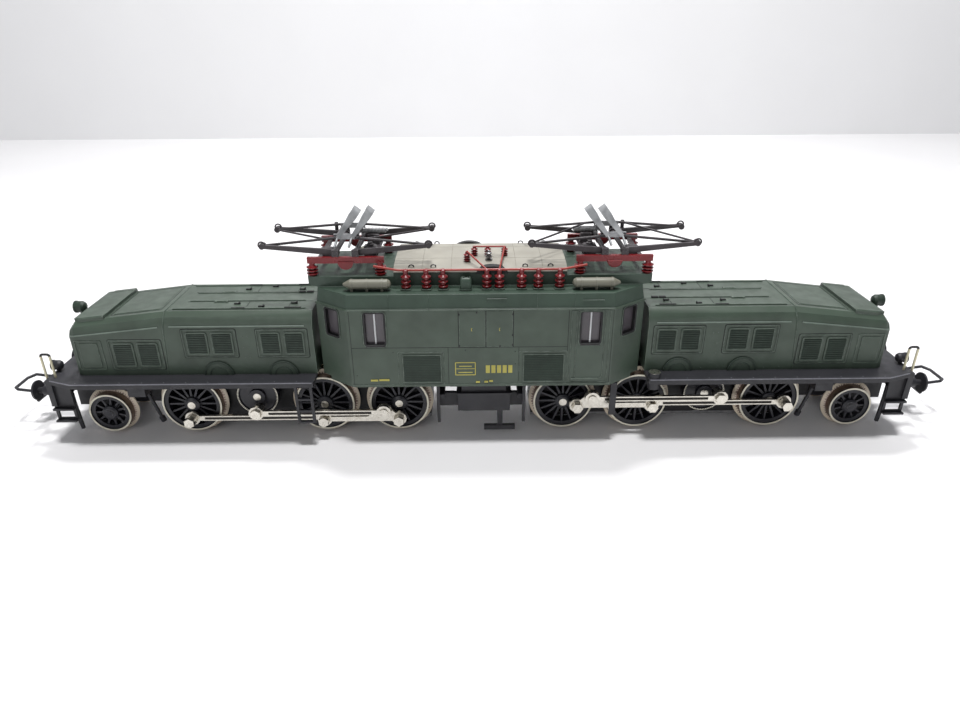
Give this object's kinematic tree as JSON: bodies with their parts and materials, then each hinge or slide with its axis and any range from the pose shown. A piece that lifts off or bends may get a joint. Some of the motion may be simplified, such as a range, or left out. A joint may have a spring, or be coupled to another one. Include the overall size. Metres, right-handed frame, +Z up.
{
  "type": "model electric locomotive",
  "caption": "Articulated model electric locomotive: cab body between two low-hooded bogies with spoked wheels, crank rods, jackshafts and two pantographs.",
  "frame": {"origin": "centre of the plan box, on the level of the wheel flanges", "axes": "+X along the track towards the rear bogie, +Z up"},
  "size_m": [0.2524, 0.0346, 0.0584],
  "materials": {
    "body_paint": "satin dark green-grey paint",
    "frame_black": "matt black paint",
    "window_glass": "clear pane",
    "roof_grey": "satin light beige-grey",
    "insulator_red": "glossy dark red",
    "busbar_red": "satin red",
    "tank_grey": "satin grey",
    "buffer_black": "satin black",
    "lamp_green": "satin grey-green",
    "rail_brass": "drawn wire",
    "keeper_metal": "plain steel",
    "wheel_black": "black centre with a bright tyre",
    "rod_silver": "nickel silver",
    "coupler_black": "black oxide",
    "armature_copper": "copper winding",
    "gear_brass": "cut brass",
    "shoe_steel": "polished contact",
    "arm_dark": "dark satin paint",
    "strip_grey": "worn light grey"
  },
  "bodies": {
    "body": {"centre_shell": "body_paint", "centre_frame": "frame_black", "glazing": "window_glass", "roof_cover": "roof_grey", "roof_insulators": "insulator_red", "roof_busbar": "busbar_red", "air_tanks": "tank_grey", "equipment_boxes": "frame_black", "signal_magnets": "frame_black", "panto_base_front": "insulator_red", "panto_base_rear": "insulator_red"},
    "bogie_rear": {"bogie_frame_rear": "frame_black", "footplate_rear": "frame_black", "hood_rear": "body_paint", "buffers_rear": "buffer_black", "headlamps_rear": "lamp_green", "handrails_rear": "rail_brass", "keeper_plate_rear": "keeper_metal"},
    "pony_truck_rear": {"pony_truck_rear": "frame_black"},
    "pony_axle_rear": {"pony_wheels_rear": "wheel_black"},
    "middle_axle_rear": {"middle_wheels_rear": "wheel_black"},
    "outer_axle_rear": {"outer_wheels_rear": "wheel_black"},
    "inner_axle_rear": {"inner_wheels_rear": "wheel_black"},
    "jackshaft_rear": {"jackshaft_rear": "wheel_black"},
    "right_rods_rear": {"right_rods_rear": "rod_silver"},
    "left_rods_rear": {"left_rods_rear": "rod_silver"},
    "coupler_rear": {"coupler_rear": "coupler_black"},
    "coupler_hoop_rear": {"coupler_hoop_rear": "coupler_black"},
    "lower_arm_outer_rear": {"lower_arm_outer_rear": "arm_dark"},
    "upper_arm_outer_rear": {"upper_arm_outer_rear": "arm_dark"},
    "lower_arm_inner_rear": {"lower_arm_inner_rear": "arm_dark"},
    "upper_arm_inner_rear": {"upper_arm_inner_rear": "arm_dark"},
    "collector_rear": {"collector_rear": "strip_grey"},
    "bogie_front": {"bogie_frame_front": "frame_black", "footplate_front": "frame_black", "hood_front": "body_paint", "buffers_front": "buffer_black", "headlamps_front": "lamp_green", "handrails_front": "rail_brass", "keeper_plate_front": "keeper_metal", "motor_frame": "keeper_metal"},
    "pony_truck_front": {"pony_truck_front": "frame_black"},
    "pony_axle_front": {"pony_wheels_front": "wheel_black"},
    "middle_axle_front": {"middle_wheels_front": "wheel_black"},
    "outer_axle_front": {"outer_wheels_front": "wheel_black"},
    "inner_axle_front": {"inner_wheels_front": "wheel_black"},
    "jackshaft_front": {"jackshaft_front": "wheel_black"},
    "right_rods_front": {"right_rods_front": "rod_silver"},
    "left_rods_front": {"left_rods_front": "rod_silver"},
    "coupler_front": {"coupler_front": "coupler_black"},
    "coupler_hoop_front": {"coupler_hoop_front": "coupler_black"},
    "armature": {"armature": "armature_copper"},
    "idler": {"idler_gear": "gear_brass"},
    "pickup_shoe": {"pickup_shoe": "shoe_steel"},
    "lower_arm_outer_front": {"lower_arm_outer_front": "arm_dark"},
    "upper_arm_outer_front": {"upper_arm_outer_front": "arm_dark"},
    "lower_arm_inner_front": {"lower_arm_inner_front": "arm_dark"},
    "upper_arm_inner_front": {"upper_arm_inner_front": "arm_dark"},
    "collector_front": {"collector_front": "strip_grey"}
  },
  "joints": [
    {"name": "bogie_swivel_rear", "type": "hinge", "parent": "body", "child": "bogie_rear", "pos_m": [0.0312, 0, 0.018], "axis": [0, 0, 1], "range_deg": [-5, 5]},
    {"name": "pony_swing_rear", "type": "hinge", "parent": "bogie_rear", "child": "pony_truck_rear", "pos_m": [0.0866, 0, 0.0065], "axis": [0, 0, 1], "range_deg": [-7, 7]},
    {"name": "pony_roll_rear", "type": "hinge", "parent": "pony_truck_rear", "child": "pony_axle_rear", "pos_m": [0.0979, 0, 0.00655], "axis": [0, 1, 0], "continuous": true},
    {"name": "middle_roll_rear", "type": "hinge", "parent": "bogie_rear", "child": "middle_axle_rear", "pos_m": [0.041, 0, 0.00885], "axis": [0, 1, 0], "continuous": true},
    {"name": "outer_roll_rear", "type": "hinge", "parent": "bogie_rear", "child": "outer_axle_rear", "pos_m": [0.0759, 0, 0.00885], "axis": [0, 1, 0], "continuous": true},
    {"name": "inner_roll_rear", "type": "hinge", "parent": "bogie_rear", "child": "inner_axle_rear", "pos_m": [0.0215, 0, 0.00885], "axis": [0, 1, 0], "continuous": true},
    {"name": "jackshaft_turn_rear", "type": "hinge", "parent": "bogie_rear", "child": "jackshaft_rear", "pos_m": [0.0584, 0, 0.0112], "axis": [0, 1, 0], "continuous": true},
    {"name": "right_rods_rear_turn", "type": "hinge", "parent": "middle_axle_rear", "child": "right_rods_rear", "pos_m": [0.0444, -0.0115, 0.00885], "axis": [0, 1, 0], "continuous": true},
    {"name": "left_rods_rear_turn", "type": "hinge", "parent": "middle_axle_rear", "child": "left_rods_rear", "pos_m": [0.041, 0.0115, 0.00545], "axis": [0, 1, 0], "continuous": true},
    {"name": "coupler_swing_rear", "type": "hinge", "parent": "bogie_rear", "child": "coupler_rear", "pos_m": [0.1054, 0, 0.0097], "axis": [0, 0, 1], "range_deg": [-15, 15]},
    {"name": "hoop_lift_rear", "type": "hinge", "parent": "coupler_rear", "child": "coupler_hoop_rear", "pos_m": [0.1184, 0, 0.01], "axis": [0, -1, 0], "range_deg": [0, 30]},
    {"name": "panto_raise_rear", "type": "hinge", "parent": "body", "child": "lower_arm_outer_rear", "pos_m": [0.0347, 0, 0.0493], "axis": [0, -1, 0], "range_deg": [0, 42]},
    {"name": "upper_arm_outer_rear_turn", "type": "hinge", "parent": "lower_arm_outer_rear", "child": "upper_arm_outer_rear", "pos_m": [0.05223, 0, 0.05083], "axis": [0, 1, 0], "range_deg": [0, 84]},
    {"name": "lower_arm_inner_rear_turn", "type": "hinge", "parent": "body", "child": "lower_arm_inner_rear", "pos_m": [0.0299, 0, 0.0493], "axis": [0, 1, 0], "range_deg": [0, 42]},
    {"name": "upper_arm_inner_rear_turn", "type": "hinge", "parent": "lower_arm_inner_rear", "child": "upper_arm_inner_rear", "pos_m": [0.01237, 0, 0.05083], "axis": [0, -1, 0], "range_deg": [0, 84]},
    {"name": "collector_rear_turn", "type": "hinge", "parent": "upper_arm_outer_rear", "child": "collector_rear", "pos_m": [0.0347, 0, 0.05237], "axis": [0, -1, 0], "range_deg": [0, 42]},
    {"name": "bogie_swivel_front", "type": "hinge", "parent": "body", "child": "bogie_front", "pos_m": [-0.0312, 0, 0.018], "axis": [0, 0, 1], "range_deg": [-5, 5]},
    {"name": "pony_swing_front", "type": "hinge", "parent": "bogie_front", "child": "pony_truck_front", "pos_m": [-0.0866, 0, 0.0065], "axis": [0, 0, 1], "range_deg": [-7, 7]},
    {"name": "pony_roll_front", "type": "hinge", "parent": "pony_truck_front", "child": "pony_axle_front", "pos_m": [-0.0979, 0, 0.00655], "axis": [0, 1, 0], "continuous": true},
    {"name": "middle_roll_front", "type": "hinge", "parent": "bogie_front", "child": "middle_axle_front", "pos_m": [-0.041, 0, 0.00885], "axis": [0, 1, 0], "continuous": true},
    {"name": "outer_roll_front", "type": "hinge", "parent": "bogie_front", "child": "outer_axle_front", "pos_m": [-0.0759, 0, 0.00885], "axis": [0, 1, 0], "continuous": true},
    {"name": "inner_roll_front", "type": "hinge", "parent": "bogie_front", "child": "inner_axle_front", "pos_m": [-0.0215, 0, 0.00885], "axis": [0, 1, 0], "continuous": true},
    {"name": "jackshaft_turn_front", "type": "hinge", "parent": "bogie_front", "child": "jackshaft_front", "pos_m": [-0.0584, 0, 0.0112], "axis": [0, 1, 0], "continuous": true},
    {"name": "right_rods_front_turn", "type": "hinge", "parent": "middle_axle_front", "child": "right_rods_front", "pos_m": [-0.0444, 0.0115, 0.00885], "axis": [0, 1, 0], "continuous": true},
    {"name": "left_rods_front_turn", "type": "hinge", "parent": "middle_axle_front", "child": "left_rods_front", "pos_m": [-0.041, -0.0115, 0.00545], "axis": [0, 1, 0], "continuous": true},
    {"name": "coupler_swing_front", "type": "hinge", "parent": "bogie_front", "child": "coupler_front", "pos_m": [-0.1054, 0, 0.0097], "axis": [0, 0, 1], "range_deg": [-15, 15]},
    {"name": "hoop_lift_front", "type": "hinge", "parent": "coupler_front", "child": "coupler_hoop_front", "pos_m": [-0.1184, 0, 0.01], "axis": [0, 1, 0], "range_deg": [0, 30]},
    {"name": "armature_turn", "type": "hinge", "parent": "bogie_front", "child": "armature", "pos_m": [-0.0498, 0, 0.0196], "axis": [0, 1, 0], "continuous": true},
    {"name": "idler_turn", "type": "hinge", "parent": "bogie_front", "child": "idler", "pos_m": [-0.0462, 0, 0.01383], "axis": [0, 1, 0], "continuous": true},
    {"name": "shoe_lift", "type": "slide", "parent": "bogie_front", "child": "pickup_shoe", "axis": [0, 0, 1], "range_m": [0, 0.0006], "stiffness_N_per_m": 50, "springref_m": -0.002},
    {"name": "panto_raise_front", "type": "hinge", "parent": "body", "child": "lower_arm_outer_front", "pos_m": [-0.0347, 0, 0.0493], "axis": [0, 1, 0], "range_deg": [0, 42]},
    {"name": "upper_arm_outer_front_turn", "type": "hinge", "parent": "lower_arm_outer_front", "child": "upper_arm_outer_front", "pos_m": [-0.05223, 0, 0.05083], "axis": [0, -1, 0], "range_deg": [0, 84]},
    {"name": "lower_arm_inner_front_turn", "type": "hinge", "parent": "body", "child": "lower_arm_inner_front", "pos_m": [-0.0299, 0, 0.0493], "axis": [0, -1, 0], "range_deg": [0, 42]},
    {"name": "upper_arm_inner_front_turn", "type": "hinge", "parent": "lower_arm_inner_front", "child": "upper_arm_inner_front", "pos_m": [-0.01237, 0, 0.05083], "axis": [0, 1, 0], "range_deg": [0, 84]},
    {"name": "collector_front_turn", "type": "hinge", "parent": "upper_arm_outer_front", "child": "collector_front", "pos_m": [-0.0347, 0, 0.05237], "axis": [0, 1, 0], "range_deg": [0, 42]}
  ],
  "couplings": [
    {"joint": "outer_roll_rear", "follows": "middle_roll_rear", "ratio": 1},
    {"joint": "inner_roll_rear", "follows": "middle_roll_rear", "ratio": 1},
    {"joint": "jackshaft_turn_rear", "follows": "middle_roll_rear", "ratio": 1},
    {"joint": "right_rods_rear_turn", "follows": "middle_roll_rear", "ratio": -1},
    {"joint": "left_rods_rear_turn", "follows": "middle_roll_rear", "ratio": -1},
    {"joint": "upper_arm_outer_rear_turn", "follows": "panto_raise_rear", "ratio": 2},
    {"joint": "lower_arm_inner_rear_turn", "follows": "panto_raise_rear", "ratio": 1},
    {"joint": "upper_arm_inner_rear_turn", "follows": "panto_raise_rear", "ratio": 2},
    {"joint": "collector_rear_turn", "follows": "panto_raise_rear", "ratio": 1},
    {"joint": "outer_roll_front", "follows": "middle_roll_front", "ratio": 1},
    {"joint": "inner_roll_front", "follows": "middle_roll_front", "ratio": 1},
    {"joint": "jackshaft_turn_front", "follows": "middle_roll_front", "ratio": 1},
    {"joint": "right_rods_front_turn", "follows": "middle_roll_front", "ratio": -1},
    {"joint": "left_rods_front_turn", "follows": "middle_roll_front", "ratio": -1},
    {"joint": "armature_turn", "follows": "middle_roll_front", "ratio": 4.8},
    {"joint": "idler_turn", "follows": "middle_roll_front", "ratio": -2},
    {"joint": "upper_arm_outer_front_turn", "follows": "panto_raise_front", "ratio": 2},
    {"joint": "lower_arm_inner_front_turn", "follows": "panto_raise_front", "ratio": 1},
    {"joint": "upper_arm_inner_front_turn", "follows": "panto_raise_front", "ratio": 2},
    {"joint": "collector_front_turn", "follows": "panto_raise_front", "ratio": 1}
  ]
}
